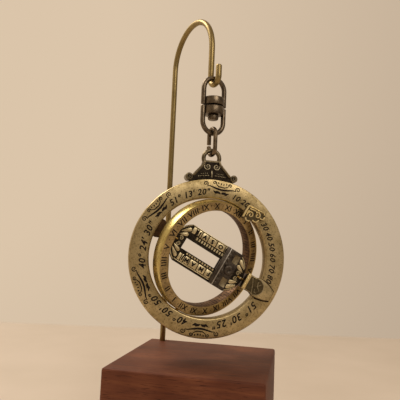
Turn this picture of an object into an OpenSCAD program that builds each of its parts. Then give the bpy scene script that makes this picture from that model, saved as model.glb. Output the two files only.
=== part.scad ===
// Universal equinoctial ring dial of antique brass. It hangs by a swivel and an oval link
// from a brass wire hook, and the hook stands in a wooden block.
// Millimetres, +Z up. The origin is the centre of the block's underside, the viewer is at -Y.

/* [Wooden block] */
// side of the square block
base_w = 60; // [54:1:66]
// height of the block
base_h = 30; // [26:1:36]
// radius of the eased edges
base_ease = 1; // [0.6:0.2:1.6]

/* [Hook wire] */
// thickness of the wire
wire_d = 2.6; // [2.2:0.1:2.8]
// distance of the post from the block's left side
foot_in_x = 6.8; // [4:0.2:8]
// distance of the post from the block's back
foot_in_y = 3.6; // [3:0.2:6]
// direction of the arch, counted from straight right
hook_turn = -48; // [-54:1:-42]
// wood left under the end of the post
post_floor = 16; // [8:1:20]
// height of the post over the block, up to the arch
post_h = 132.9; // [122:0.1:146]
// distance between the arch's two legs
arch_d = 35.6; // [34:0.1:40]
// bend radius of the small hook
j_r = 3.2; // [3:0.1:3.8]
// straight end of the small hook
j_tip_h = 3.4; // [2:0.1:6]

/* [Swivel] */
// wire thickness of the two bails
bail_wire_d = 2.1; // [1.8:0.1:2.2]
// outer width of a bail
bail_w = 12.3; // [11.4:0.1:12.6]
// height of the upper bail from its collar's face
bail_h = 13.1; // [12:0.1:13.5]
// height of the lower bail from its collar's face
lower_bail_h = 12.5; // [11.5:0.1:13]
// diameter of a collar
collar_d = 9; // [8.6:0.1:9.6]
// height of a collar
collar_h = 3.4; // [3:0.1:3.8]
// shank of the swivel stud
stud_d = 3; // [2.6:0.1:3.4]
// head of the swivel stud
stud_head_d = 4.6; // [4.2:0.1:5.2]
// height of the stud's head
stud_head_h = 2.2; // [2:0.1:2.8]

/* [Oval link] */
// wire thickness of the link
link_wire_d = 1.8; // [1.4:0.1:1.8]
// outer width of the link
link_w = 6.9; // [6.8:0.1:7.4]
// outer height of the link
link_h = 13.2; // [12.4:0.1:14]
// open joint in one leg of the link
link_slit = 0.6; // [0.4:0.1:1]

/* [Hanger] */
// wire thickness of the hanger's eye
eye_wire_d = 1.8; // [1.6:0.1:1.9]
// outer diameter of the hanger's eye
eye_d = 8.6; // [8.4:0.1:9]
// height of the eye's top over the rim
eye_rise = 13.5; // [12.8:0.05:13.8]
// thickness of the hanger
hanger_t = 5; // [4.4:0.1:5.4]
// distance between the scrolls at the hanger's ends
hanger_w = 19.2; // [18.4:0.1:20]
// radius of the scrolls at the hanger's ends
scroll_r = 1.55; // [1.3:0.05:1.7]
// half of the arc that the shoe fills
shoe_half = 12; // [9:1:13]

/* [Meridian ring] */
// outside diameter
ring_d = 65.4; // [58:0.2:72]
// width of the ring's face
ring_face = 8.05; // [7.4:0.05:8.6]
// height of the ring's lowest point over the block
ring_lift = 8.4; // [6:0.1:14]
// turn of the dial about the plumb line
dial_turn = 23; // [18:0.5:30]
// latitude that the dial is set to
latitude = 29.2; // [26:0.2:34]
// bevel on the ring's edges
ring_bevel = 0.4; // [0.2:0.1:0.6]

/* [Hour ring] */
// gap between the hour ring and the meridian ring
hour_gap = 0.35; // [0.3:0.05:1]
// width of the hour ring's face
hour_face = 4; // [3.6:0.1:4.4]
// thickness
hour_t = 5.2; // [4.8:0.1:5.6]
// how far the hour ring is unfolded
hour_fold = 26.3; // [8:0.1:50]
// pivot pins of the hour ring
hour_pin_d = 1.6; // [1.2:0.1:1.8]

/* [Polar brackets and stop plate] */
// thickness of the plates
plate_t = 1.3; // [1:0.1:1.6]
// width of a bracket
bracket_w = 6.8; // [6.4:0.1:7.2]
// thickness of a bracket's leg
bracket_leg_t = 1.5; // [1.3:0.1:1.7]
// width of a bracket's leg
bracket_leg_w = 6; // [5:0.2:6.4]
// raised bar across a bracket's inner end
bracket_bar_h = 0.4; // [0.2:0.1:0.6]
// length of the stop plate along the rim
stop_l = 8.9; // [8:0.1:9.4]
// width of the stop plate across the rim
stop_w = 7; // [6.6:0.1:7.4]
// how far the stop plate reaches over the bore
stop_over = 3.1; // [2.6:0.1:3.4]
// diameter of the hidden rivet pegs
peg_d = 1.2; // [1:0.1:1.4]

/* [Bridge] */
// width of the bridge
bridge_w = 17; // [16:0.2:17.6]
// thickness of the bridge
bridge_t = 2; // [1.9:0.1:2.3]
// length of a palmette end
fan_l = 5; // [4.6:0.1:5.4]
// width of the slot
slot_w = 4.8; // [4.4:0.1:5.2]
// pivot pins of the bridge
bridge_pin_d = 1.4; // [1.1:0.1:1.5]
// month cells on a rail
cell_count = 6; // [6:1:6]
// bar between two month cells
cell_bar = 0.65; // [0.4:0.05:0.9]
// width of a month cell
cell_w = 3.2; // [2.8:0.1:3.4]
// depth of a month cell
cell_depth = 0.25; // [0.15:0.05:0.3]

/* [Slider] */
// length of the slider along the slot
slider_l = 7.4; // [7:0.1:8]
// thickness of the slider's plates
slider_t = 0.9; // [0.7:0.1:1.1]
// place of the pinhole ahead of the slider's middle
boss_x = 1.3; // [0.8:0.1:1.6]
// diameter of the pinhole
pinhole_d = 1.1; // [0.8:0.1:1.4]
// diameter of the eyelet's barrel
barrel_d = 3; // [2.6:0.1:3.2]
// diameter of the pinhole's boss
boss_d = 4.2; // [3.8:0.1:4.4]
// height of the boss over the front plate
boss_h = 0.7; // [0.5:0.1:0.9]
// height of the eyelet's flange behind the back plate
flange_h = 0.4; // [0.3:0.1:0.6]
// length of a sunk panel in the front plate
panel_l = 2.6; // [2:0.1:2.8]
// width of a sunk panel in the front plate
panel_w = 3.8; // [3:0.1:4]
// depth of a sunk panel
panel_depth = 0.25; // [0.2:0.05:0.4]

/* [Hidden] */
round_fn = 96;
wire_fn = 48;
cut = 1;
half_turn = 180;
quarter_turn = 90;
// play between two wires that hang in each other
chain_play = 0.1;
// play between the two collars
collar_gap = 0.6;
// radial play of the stud, the pins and the shoe
stud_fit = 0.08;
pin_fit = 0.05;
shoe_fit = 0.1;
rim_play = 0.15;
scroll_play = 0.35;
// play of the hour ring under the plates, at the stop and round the brackets' legs
face_step = 0.2;
stop_play = 0.1;
leg_gap = 1.2;
// play at the bridge's ends and round the slider
bridge_play = 0.3;
slider_play = 0.12;
slot_play = 0.1;
end_play = 0.1;

// rings
rim_r = ring_d / 2;
ring_t = hour_t + 2 * face_step;
ring_bore = ring_d - 2 * ring_face;
hour_d = ring_bore - 2 * hour_gap;
hour_bore = hour_d - 2 * hour_face;
ring_z = base_h + ring_lift + rim_r;

// hanger, over the rim
eye_r = (eye_d - eye_wire_d) / 2;
eye_top = rim_r + eye_rise - eye_wire_d / 2;
eye_y = eye_top - eye_r;
shelf_share = 0.37;
shelf_y = eye_y - shelf_share * eye_r;
hanger_h = shelf_y - rim_r;
hanger_flank = [[0.365, 0], [0.415, -0.18], [0.56, -0.39], [0.715, -0.6], [0.84, -0.785], [0.94, -0.835]];
scroll_y = sqrt(pow(rim_r + rim_play + scroll_r + scroll_play, 2) - pow(hanger_w / 2, 2));
hanger_low = rim_r - hanger_h / 2;
shoe_up = 1.5;
groove_neck = 0.8;
groove_wide = 1.3;
groove_lip = 0.6;
groove_depth = 1.6;

// chain, from the hanger's eye upward
bail_r = (bail_w - bail_wire_d) / 2;
link_r = (link_w - link_wire_d) / 2;
link_low = ring_z + eye_top - eye_wire_d / 2 - chain_play - link_wire_d / 2;
link_top = link_low + link_h - link_wire_d;
slit_z = link_low + link_r + (link_h - link_wire_d - 2 * link_r) / 4;
lower_apex = link_top - link_wire_d / 2 - chain_play - bail_wire_d / 2;
lower_top = lower_apex - bail_wire_d / 2 + lower_bail_h;
upper_foot = lower_top + collar_gap;
upper_apex = upper_foot + bail_h - bail_wire_d / 2;
head_top = lower_top - collar_h - stud_fit;

// hook
j_low = upper_apex - bail_wire_d / 2 - chain_play - wire_d / 2;
j_z = j_low + j_r;
post_top = base_h + post_h;
leg_h = post_top - j_z;
foot_left = base_w / 2 - foot_in_x;
foot_back = base_w / 2 - foot_in_y;
plumb_x = -foot_left + (arch_d + j_r) * cos(hook_turn);
plumb_y = foot_back + (arch_d + j_r) * sin(hook_turn);

// pivots of the hour ring
pin_wall = 0.8;
hour_pin_in = hour_bore / 2 + pin_wall;
hour_pin_out = rim_r - groove_depth - 2 * end_play;
hour_bore_in = hour_pin_in - end_play;

// brackets, as shares of their reach and width
plate_z = ring_t / 2;
bracket_in = hour_bore / 2 - bracket_leg_t - leg_gap;
bracket_margin = 1.9;
bracket_reach = rim_r - bracket_margin - bracket_in;
bracket_edge = [[0.29, 0.5], [0.417, 0.61], [0.61, 0.58], [0.82, 0.48], [1, 0.33]];
leg_lip = 0.9;
bracket_leg_low = -bridge_pin_d / 2 - leg_lip;
peg_inset = 1.3;
bracket_pegs = [[ring_bore / 2 + peg_inset, bracket_w * 0.28], [ring_bore / 2 + peg_inset, -bracket_w * 0.28]];
peg_in = 2;
peg_up = 0.8;

// stop plate, from the hour ring's face and from the ring's bore, as shares of its size
stop_x = hour_t / 2 + stop_play;
stop_y = ring_bore / 2 - stop_over;
stop_edge = [[0, 0], [0, 0.92], [0.93, 1], [1, 0.84], [0.72, 0.4], [0.31, 0.03]];
stop_lobes = [[0.31, 0.16, 0.17], [0.63, 0.365, 0.195], [0.88, 0.66, 0.145]];
stop_pegs = [[0.29, 0.7], [0.72, 0.81]];

// bridge and slider, along the pole axis
tip_x = bracket_in - bridge_play;
rail_end = tip_x - fan_l;
rail_l = 2 * rail_end;
rail_y = bridge_w / 2;
fan_x = (tip_x * tip_x - rail_end * rail_end - rail_y * rail_y) / (2 * (tip_x - rail_end));
fan_r = tip_x - fan_x;
slot_margin = 0.5;
slot_end = rail_end - slot_margin;
pin_root = tip_x - fan_l / 2;
pin_tip = bracket_in + bracket_leg_t - end_play;
cell_y = slot_w / 2 + (rail_y - slot_w / 2) * 0.62;
cell_step = (rail_l - 2 * cell_bar) / cell_count;
cell_l = cell_step - cell_bar;
slider_x = rail_end - slider_l / 2;
core_l = slider_l - 2 * (slot_margin + bridge_play);
core_w = slot_w - 2 * slot_play;
core_t = bridge_t + 2 * slider_play;
panel_x = slider_l * 0.27;
panel_y = (slot_w / 2 + rail_y) / 2 - slot_play;
slider_ridge_x = -slider_l * 0.27;
slider_ridge_w = 0.5;
slider_ridge_h = 0.35;

// colours
wood = [0.40, 0.22, 0.14];
brass = [0.72, 0.56, 0.24];
bronze = [0.27, 0.21, 0.15];
gold = [0.66, 0.55, 0.30];
polished = [0.80, 0.65, 0.28];
dark = [0.18, 0.15, 0.12];

// upright plane of the hook: x along the arch, y up
module hook_plane() {
  translate([-foot_left, foot_back, 0]) rotate([quarter_turn, 0, hook_turn]) children();
}

// upright planes through the plumb line: x along the given direction, y up
module plumb_plane(turn) {
  translate([plumb_x, plumb_y, 0]) rotate([quarter_turn, 0, turn]) children();
}

// dial: x right and y up in the meridian plane, z toward the viewer
module dial_frame() {
  plumb_plane(dial_turn) translate([0, ring_z, 0]) children();
}

// pole: x along the pole axis, y along the hour ring's pivots
module pole_frame() {
  dial_frame() rotate([0, 0, -latitude]) children();
}

module rod(d, h) {
  rotate([-quarter_turn, 0, 0]) cylinder(d = d, h = h, $fn = wire_fn);
}

module bend(r, d, a) {
  rotate_extrude(angle = a, $fn = round_fn) translate([r, 0]) circle(d = d, $fn = wire_fn);
}

module eased_square(w, h, r) {
  square([w, h - 2 * r], center = true);
  square([w - 2 * r, h], center = true);
  for (i = [-1, 1]) for (j = [-1, 1])
    translate([i * (w / 2 - r), j * (h / 2 - r)]) circle(r = r, $fn = wire_fn);
}

module base_block() {
  color(wood) difference() {
    translate([0, 0, base_h / 2]) intersection() {
      linear_extrude(base_h, center = true) eased_square(base_w, base_w, base_ease);
      rotate([quarter_turn, 0, 0])
        linear_extrude(base_w, center = true) eased_square(base_w, base_h, base_ease);
      rotate([quarter_turn, 0, quarter_turn])
        linear_extrude(base_w, center = true) eased_square(base_w, base_h, base_ease);
    }
    translate([-foot_left, foot_back, post_floor])
      cylinder(d = wire_d, h = base_h - post_floor + cut, $fn = wire_fn);
  }
}

module hook_wire() {
  color(brass) hook_plane() {
    translate([0, post_floor, 0]) rod(wire_d, post_top - post_floor);
    translate([arch_d / 2, post_top, 0]) bend(arch_d / 2, wire_d, half_turn);
    translate([arch_d, j_z, 0]) rod(wire_d, leg_h);
    translate([arch_d + j_r, j_z, 0]) rotate([0, 0, half_turn]) bend(j_r, wire_d, half_turn);
    translate([arch_d + 2 * j_r, j_z, 0]) rod(wire_d, j_tip_h);
    translate([arch_d + 2 * j_r, j_z + j_tip_h, 0]) sphere(d = wire_d, $fn = wire_fn);
  }
}

// bail of a given height and its collar standing on y = 0, with the collar's bore
module bail(h, bore) {
  leg = h - bail_wire_d / 2 - bail_r;
  difference() {
    union() {
      translate([0, leg, 0]) bend(bail_r, bail_wire_d, half_turn);
      translate([-bail_r, 0, 0]) rod(bail_wire_d, leg);
      translate([bail_r, 0, 0]) rod(bail_wire_d, leg);
      rod(collar_d, collar_h);
    }
    translate([0, -cut, 0]) rod(bore, collar_h + 2 * cut);
  }
}

module swivel_upper_bail() {
  color(bronze) plumb_plane(hook_turn + quarter_turn) translate([0, upper_foot, 0]) bail(bail_h, stud_d);
}

module swivel_stud() {
  color(bronze) plumb_plane(hook_turn + quarter_turn) {
    translate([0, head_top, 0]) rod(stud_d, upper_foot + collar_h - head_top);
    translate([0, head_top - stud_head_h, 0]) rod(stud_head_d, stud_head_h);
  }
}

module swivel_lower_bail() {
  color(bronze) plumb_plane(hook_turn + quarter_turn)
    translate([0, lower_top, 0]) mirror([0, 1, 0]) bail(lower_bail_h, stud_d + 2 * stud_fit);
}

module jump_link() {
  low = link_low + link_r;
  top = link_top - link_r;
  color(bronze) plumb_plane(hook_turn) {
    translate([0, top, 0]) bend(link_r, link_wire_d, half_turn);
    translate([0, low, 0]) rotate([0, 0, half_turn]) bend(link_r, link_wire_d, half_turn);
    translate([link_r, low, 0]) rod(link_wire_d, top - low);
    translate([-link_r, low, 0]) rod(link_wire_d, slit_z - low);
    translate([-link_r, slit_z + link_slit, 0]) rod(link_wire_d, top - slit_z - link_slit);
  }
}

// outline of the hanger over the rim
module hanger_outline() {
  right = [for (p = hanger_flank) [p[0] * hanger_w / 2, shelf_y + p[1] * hanger_h]];
  last = len(hanger_flank) - 1;
  left = [for (i = [last : -1 : 0]) [-right[i][0], right[i][1]]];
  difference() {
    union() {
      polygon(concat(right, [[right[last][0], hanger_low], [-right[last][0], hanger_low]], left));
      for (i = [-1, 1]) translate([i * hanger_w / 2, scroll_y]) circle(r = scroll_r, $fn = wire_fn);
    }
    circle(r = rim_r + rim_play, $fn = round_fn);
  }
}

// ring sector between two radii, of a given half width, over the shoe's arc
module shoe_sector(r0, r1, w) {
  rotate([0, 0, quarter_turn - shoe_half])
    rotate_extrude(angle = 2 * shoe_half, $fn = round_fn)
      translate([r0, -w]) square([r1 - r0, 2 * w]);
}

module hanger() {
  color(bronze) dial_frame() difference() {
    union() {
      translate([0, eye_y, 0]) bend(eye_r, eye_wire_d, 2 * half_turn);
      linear_extrude(hanger_t, center = true) hanger_outline();
    }
    shoe_sector(rim_r - cut, rim_r + shoe_up, groove_neck - shoe_fit);
  }
}

module hanger_shoe() {
  color(bronze) dial_frame() {
    shoe_sector(rim_r - groove_depth + shoe_fit, rim_r - groove_lip - shoe_fit, groove_wide - shoe_fit);
    shoe_sector(rim_r - groove_depth + shoe_fit, rim_r + shoe_up, groove_neck - shoe_fit);
  }
}

module ring_section(r0, r1, t, b) {
  polygon([[r0 + b, -t / 2], [r1 - b, -t / 2], [r1, -t / 2 + b], [r1, t / 2 - b],
    [r1 - b, t / 2], [r0 + b, t / 2], [r0, t / 2 - b], [r0, -t / 2 + b]]);
}

module meridian_ring() {
  color(gold) pole_frame() difference() {
    rotate_extrude($fn = round_fn) difference() {
      ring_section(ring_bore / 2, rim_r, ring_t, ring_bevel);
      translate([rim_r - groove_depth, -groove_wide]) square([groove_depth - groove_lip, 2 * groove_wide]);
      translate([rim_r - groove_lip - cut / 2, -groove_neck]) square([groove_lip + cut, 2 * groove_neck]);
    }
    hour_pin_pair(0, hour_pin_d);
    plate_pegs();
  }
}

module bracket() {
  edge = [for (p = bracket_edge) [bracket_in + p[0] * bracket_reach, p[1] * bracket_w]];
  back = [for (i = [len(bracket_edge) - 1 : -1 : 0]) [edge[i][0], -edge[i][1]]];
  half = bracket_w / 2;
  difference() {
    union() {
      translate([0, 0, plate_z]) linear_extrude(plate_t)
        polygon(concat([[bracket_in, half]], edge, back, [[bracket_in, -half]]));
      translate([bracket_in, -bracket_leg_w / 2, bracket_leg_low])
        cube([bracket_leg_t, bracket_leg_w, plate_z + plate_t - bracket_leg_low]);
      translate([bracket_in, -half, plate_z])
        cube([bracket_leg_t, 2 * half, plate_t + bracket_bar_h]);
    }
    translate([bracket_in - cut, 0, 0]) rotate([0, quarter_turn, 0])
      cylinder(d = bridge_pin_d + 2 * pin_fit, h = bracket_leg_t + 2 * cut, $fn = wire_fn);
    bracket_peg_pair();
  }
}

module peg() {
  translate([0, 0, plate_z - peg_in]) cylinder(d = peg_d, h = peg_in + peg_up, $fn = wire_fn);
}

module bracket_peg_pair() {
  for (p = bracket_pegs) translate([p[0], p[1], 0]) peg();
}

module stop_peg_pair() {
  for (p = stop_pegs) translate([stop_x + p[0] * stop_l, stop_y + p[1] * stop_w, 0]) peg();
}

module plate_pegs() {
  bracket_peg_pair();
  rotate([0, half_turn, 0]) bracket_peg_pair();
  stop_peg_pair();
}

module front_polar_bracket() {
  color(gold) pole_frame() bracket();
}

module rear_polar_bracket() {
  color(gold) pole_frame() rotate([0, half_turn, 0]) bracket();
}

module stop_plate() {
  color(gold) pole_frame() difference() {
    translate([stop_x, stop_y, plate_z]) union() {
      linear_extrude(plate_t) polygon([for (p = stop_edge) [p[0] * stop_l, p[1] * stop_w]]);
      for (p = stop_lobes) translate([p[0] * stop_l, p[1] * stop_w, 0])
        cylinder(r = p[2] * stop_l, h = plate_t, $fn = wire_fn);
    }
    stop_peg_pair();
  }
}

module plate_rivets() {
  color(brass) pole_frame() plate_pegs();
}

// pins of the hour ring, or their bores, on both ends of the pivot axis
module hour_pin_pair(inner, d) {
  from = inner > 0 ? inner : hour_pin_in;
  for (i = [0, half_turn]) rotate([0, 0, i]) translate([0, from, 0]) rod(d, hour_pin_out - from);
}

module hour_pivot_pins() {
  color(brass) pole_frame() hour_pin_pair(hour_pin_in, hour_pin_d);
}

module hour_ring() {
  color(polished) pole_frame() rotate([0, hour_fold, 0]) difference() {
    rotate_extrude($fn = round_fn) ring_section(hour_bore / 2, hour_d / 2, hour_t, ring_bevel / 2);
    hour_pin_pair(hour_bore_in, hour_pin_d + 2 * pin_fit);
  }
}

module bridge_outline() {
  difference() {
    union() {
      square([rail_l, bridge_w], center = true);
      for (i = [-1, 1]) intersection() {
        translate([i * fan_x, 0]) circle(r = fan_r, $fn = round_fn);
        translate([i * (rail_end + tip_x) / 2, 0]) square([tip_x - rail_end, bridge_w], center = true);
      }
    }
    square([2 * slot_end, slot_w], center = true);
  }
}

module bridge_pin_pair() {
  for (i = [0, half_turn]) rotate([0, i, 0]) translate([pin_root, 0, 0])
    rotate([0, quarter_turn, 0]) cylinder(d = bridge_pin_d, h = pin_tip - pin_root, $fn = wire_fn);
}

module bridge() {
  color(gold) pole_frame() difference() {
    linear_extrude(bridge_t, center = true) bridge_outline();
    bridge_pin_pair();
    for (j = [-1, 1]) for (i = [0 : cell_count - 1])
      translate([cell_step * (i + 0.5 - cell_count / 2), j * cell_y, bridge_t / 2])
        cube([cell_l, cell_w, 2 * cell_depth], center = true);
  }
}

module bridge_pivot_pins() {
  color(brass) pole_frame() bridge_pin_pair();
}

module slider_frame() {
  pole_frame() translate([slider_x, 0, 0]) children();
}

module slider_front_plate() {
  color(dark) slider_frame() difference() {
    union() {
      translate([0, 0, core_t / 2 + slider_t / 2]) cube([slider_l, bridge_w, slider_t], center = true);
      translate([slider_ridge_x, 0, core_t / 2 + slider_t + slider_ridge_h / 2 - slider_t / 4])
        cube([slider_ridge_w, bridge_w, slider_ridge_h + slider_t / 2], center = true);
    }
    for (j = [-1, 1]) translate([panel_x, j * panel_y, core_t / 2 + slider_t])
      cube([panel_l, panel_w, 2 * panel_depth], center = true);
    translate([boss_x, 0, core_t / 2 - cut])
      cylinder(d = barrel_d, h = slider_t + 2 * cut, $fn = wire_fn);
  }
}

module slider_back_plate() {
  color(dark) slider_frame() difference() {
    translate([0, 0, -core_t / 2 - slider_t / 2]) cube([slider_l, bridge_w, slider_t], center = true);
    translate([boss_x, 0, -core_t / 2 - slider_t - cut])
      cylinder(d = barrel_d, h = slider_t + 2 * cut, $fn = wire_fn);
  }
}

module slider_eyelet() {
  color(dark) slider_frame() difference() {
    union() {
      cube([core_l, core_w, core_t], center = true);
      translate([boss_x, 0, -core_t / 2 - slider_t])
        cylinder(d = barrel_d, h = core_t + 2 * slider_t, $fn = wire_fn);
      translate([boss_x, 0, core_t / 2 + slider_t]) cylinder(d = boss_d, h = boss_h, $fn = wire_fn);
      translate([boss_x, 0, -core_t / 2 - slider_t - flange_h])
        cylinder(d = boss_d, h = flange_h, $fn = wire_fn);
    }
    translate([boss_x, 0, 0])
      cylinder(d = pinhole_d, h = 2 * (core_t + slider_t + boss_h), center = true, $fn = wire_fn);
  }
}

base_block();
hook_wire();
swivel_upper_bail();
swivel_stud();
swivel_lower_bail();
jump_link();
hanger();
hanger_shoe();
meridian_ring();
front_polar_bracket();
rear_polar_bracket();
stop_plate();
plate_rivets();
hour_pivot_pins();
hour_ring();
bridge();
bridge_pivot_pins();
slider_front_plate();
slider_back_plate();
slider_eyelet();
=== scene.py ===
import math

import bmesh
import bpy
from mathutils import Matrix, Vector


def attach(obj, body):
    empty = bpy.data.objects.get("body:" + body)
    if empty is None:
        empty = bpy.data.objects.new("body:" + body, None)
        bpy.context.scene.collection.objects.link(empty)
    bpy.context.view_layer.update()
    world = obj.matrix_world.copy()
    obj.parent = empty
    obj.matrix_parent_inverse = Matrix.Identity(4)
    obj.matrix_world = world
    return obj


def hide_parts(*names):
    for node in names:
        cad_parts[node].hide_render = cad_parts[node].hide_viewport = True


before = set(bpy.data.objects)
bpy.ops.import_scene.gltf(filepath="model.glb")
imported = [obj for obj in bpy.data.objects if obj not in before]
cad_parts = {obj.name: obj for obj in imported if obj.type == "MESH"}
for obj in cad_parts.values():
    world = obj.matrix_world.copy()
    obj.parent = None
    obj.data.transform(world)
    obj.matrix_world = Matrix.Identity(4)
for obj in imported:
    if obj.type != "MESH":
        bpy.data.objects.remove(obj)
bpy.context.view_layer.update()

# Wooden block. A square piece of reddish hardwood, planed, with lightly eased edges and an
# oiled surface. It is the foot of the stand, and the hook's post is pressed into its top.
# The sizes of all pieces are in mm, and settle makes them metres.
mm = 0.001
block_side, block_high, block_ease = 60.0, 30.0, 1.0
weld_gap, crisp_angle, ease_angle = 0.0002, math.radians(35), math.radians(40)


def linear(code):
    parts = [int(code[i:i + 2], 16) / 255 for i in (1, 3, 5)]
    return (*[p / 12.92 if p <= 0.04045 else ((p + 0.055) / 1.055) ** 2.4 for p in parts], 1.0)


def add_node(tree, kind, inputs=None, stops=None, **settings):
    node = tree.nodes.new(kind)
    for key, value in settings.items():
        setattr(node, key, value)
    for key, value in (inputs or {}).items():
        if isinstance(value, bpy.types.NodeSocket):
            tree.links.new(value, node.inputs[key])
        else:
            node.inputs[key].default_value = value
    if stops:
        ramp = node.color_ramp
        while len(ramp.elements) < len(stops):
            ramp.elements.new(0.5)
        for element, (spot, code) in zip(ramp.elements, stops):
            element.position = spot
            element.color = linear(code)
    return node


def settle(bm, name, place, finish, body, slot, *nodes):
    bmesh.ops.remove_doubles(bm, verts=bm.verts[:], dist=weld_gap)
    bmesh.ops.recalc_face_normals(bm, faces=bm.faces[:])
    bm.transform(Matrix.Scale(mm, 4) @ place)
    for face in bm.faces:
        face.smooth = True
    mesh = bpy.data.meshes.new(name)
    bm.to_mesh(mesh)
    bm.free()
    mesh.set_sharp_from_angle(angle=crisp_angle)
    mesh.materials.append(finish)
    piece = bpy.data.objects.new(name, mesh)
    bpy.context.scene.collection.objects.link(piece)
    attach(piece, body)
    if nodes:
        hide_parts(*nodes)
    return piece


def ease(bm, amount, steps=3, edges=None):
    bmesh.ops.recalc_face_normals(bm, faces=bm.faces[:])
    if edges is None:
        edges = [e for e in bm.edges if e.is_manifold and e.calc_face_angle(0) > ease_angle]
    bmesh.ops.bevel(bm, geom=edges, offset=amount, offset_type="OFFSET", segments=steps,
                    profile=0.5, affect="EDGES", clamp_overlap=True, material=-1)


# Oiled mahogany: long reddish grain with short dark pores and a soft satin sheen. The grain
# lines are about 1.3 mm apart and 30 mm long, the pores 0.3 mm wide and 5 mm long.
# In a colour Mix node the factor is input 0, the colours are 6 and 7, the result is output 2.
grain_size, pore_size, cloud_size = (30.0, 1.3, 1.6), (5.0, 0.3, 0.3), 22.0
mix_share, mix_one, mix_two, mixed = 0, 6, 7, 2
oiled_wood = bpy.data.materials.new("oiled_mahogany")
oiled_wood.use_nodes = True
tree = oiled_wood.node_tree
shader = tree.nodes["Principled BSDF"]
where = add_node(tree, "ShaderNodeTexCoord").outputs["Object"]
along = add_node(tree, "ShaderNodeMapping",
                 {"Vector": where, "Scale": [1 / (mm * size) for size in grain_size]})
grain = add_node(tree, "ShaderNodeTexNoise",
                 {"Vector": along.outputs[0], "Scale": 1.0, "Detail": 4.0, "Roughness": 0.6,
                  "Distortion": 0.6})
fine = add_node(tree, "ShaderNodeMapping",
                {"Vector": where, "Scale": [1 / (mm * size) for size in pore_size]})
pores = add_node(tree, "ShaderNodeTexNoise",
                 {"Vector": fine.outputs[0], "Scale": 1.0, "Detail": 2.0})
clouds = add_node(tree, "ShaderNodeTexNoise",
                  {"Vector": where, "Scale": 1 / (mm * cloud_size), "Detail": 2.0})
tone = add_node(tree, "ShaderNodeValToRGB", {"Fac": grain.outputs["Fac"]},
                [(0.30, "#623828"), (0.50, "#75442F"), (0.72, "#885438")])
hue = add_node(tree, "ShaderNodeValToRGB", {"Fac": clouds.outputs["Fac"]},
               [(0.30, "#BFABA0"), (0.70, "#FFFFFF")])
pore_tone = add_node(tree, "ShaderNodeValToRGB", {"Fac": pores.outputs["Fac"]},
                     [(0.30, "#94837A"), (0.42, "#FFFFFF")])
shaded = add_node(tree, "ShaderNodeMix",
                  {mix_share: 1.0, mix_one: tone.outputs[0], mix_two: hue.outputs[0]},
                  data_type="RGBA", blend_type="MULTIPLY")
worn = add_node(tree, "ShaderNodeMix",
                {mix_share: 1.0, mix_one: shaded.outputs[mixed], mix_two: pore_tone.outputs[0]},
                data_type="RGBA", blend_type="MULTIPLY")
satin = add_node(tree, "ShaderNodeMapRange",
                 {"Value": grain.outputs["Fac"], "To Min": 0.50, "To Max": 0.68})
relief = add_node(tree, "ShaderNodeBump",
                  {"Height": pores.outputs["Fac"], "Strength": 0.35, "Distance": 0.06 * mm})
tree.links.new(worn.outputs[mixed], shader.inputs["Base Color"])
tree.links.new(satin.outputs[0], shader.inputs["Roughness"])
tree.links.new(relief.outputs[0], shader.inputs["Normal"])
shader.inputs["IOR"].default_value = 1.5
shader.inputs["Specular IOR Level"].default_value = 0.22

bm = bmesh.new()
bmesh.ops.create_cube(bm, size=1.0)
bmesh.ops.scale(bm, verts=bm.verts, vec=(block_side, block_side, block_high))
bmesh.ops.translate(bm, verts=bm.verts, vec=(0, 0, block_high / 2))
ease(bm, block_ease, 4)
settle(bm, "wooden_block", Matrix.Identity(4), oiled_wood, "stand", "wood_block", "base_block")

# Hook wire. One length of drawn brass wire: a straight post, a round arch and a small open
# hook at its end, bent cold. The post is pressed into a drilled hole in the block.
wire_thick, post_foot, post_top, wire_end_ease = 2.6, 16.0, 162.9, 0.6
arch_radius, leg_long, hook_radius, hook_tip = 17.8, 14.2, 3.2, 4.7
post_left, post_back, hook_turn = -23.2, 26.4, -48.0
wire_sides, bend_step = 28, 5


def upright(x, y, z, turn):
    return (Matrix.Translation((x, y, z)) @ Matrix.Rotation(math.radians(turn), 4, "Z")
            @ Matrix.Rotation(math.radians(90), 4, "X"))


# A run of one number is a straight length, and one of two is a bend's radius and its angle.
def bend_wire(bm, thick, start, heading, runs, end_ease):
    at, turn = Vector((*start, 0)), math.radians(heading)
    place = (Matrix.Translation(at) @ Matrix.Rotation(turn, 4, "Z")
             @ Matrix.Rotation(math.pi / 2, 4, "Y"))
    rim = bmesh.ops.create_circle(bm, cap_ends=True, segments=wire_sides, radius=thick / 2,
                                  matrix=place)["verts"]
    tip = rim[0].link_faces[0]
    first = list(tip.edges)
    for run in runs:
        ahead = Vector((math.cos(turn), math.sin(turn), 0))
        if len(run) == 1:
            made = bmesh.ops.extrude_face_region(bm, geom=[tip])["geom"]
            bmesh.ops.translate(bm, verts=[v for v in made if isinstance(v, bmesh.types.BMVert)],
                                vec=ahead * run[0])
        else:
            radius, bend = run
            aside = Vector((-ahead.y, ahead.x, 0)) * math.copysign(radius, bend)
            made = bmesh.ops.spin(bm, geom=[tip, *tip.edges, *tip.verts], cent=at + aside,
                                  axis=(0, 0, 1), dvec=(0, 0, 0), angle=math.radians(bend),
                                  steps=max(8, int(abs(bend) / bend_step)), use_merge=False,
                                  use_normal_flip=False, use_duplicate=False)["geom_last"]
            turn += math.radians(bend)
        tip = next(f for f in made if isinstance(f, bmesh.types.BMFace))
        at = tip.calc_center_median()
    ease(bm, end_ease, edges=first + list(tip.edges))


# Brass and bronze that have darkened with age: rubbed bright on faces, brown in patches and
# pits, nearly black in the recesses from grime and painted shade. Patches, recesses, grit and
# its depth are given in mm.
# The grit of the metal's skin is drawn at 0.35 mm, coarse enough to show.
pit_size = 0.6


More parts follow.
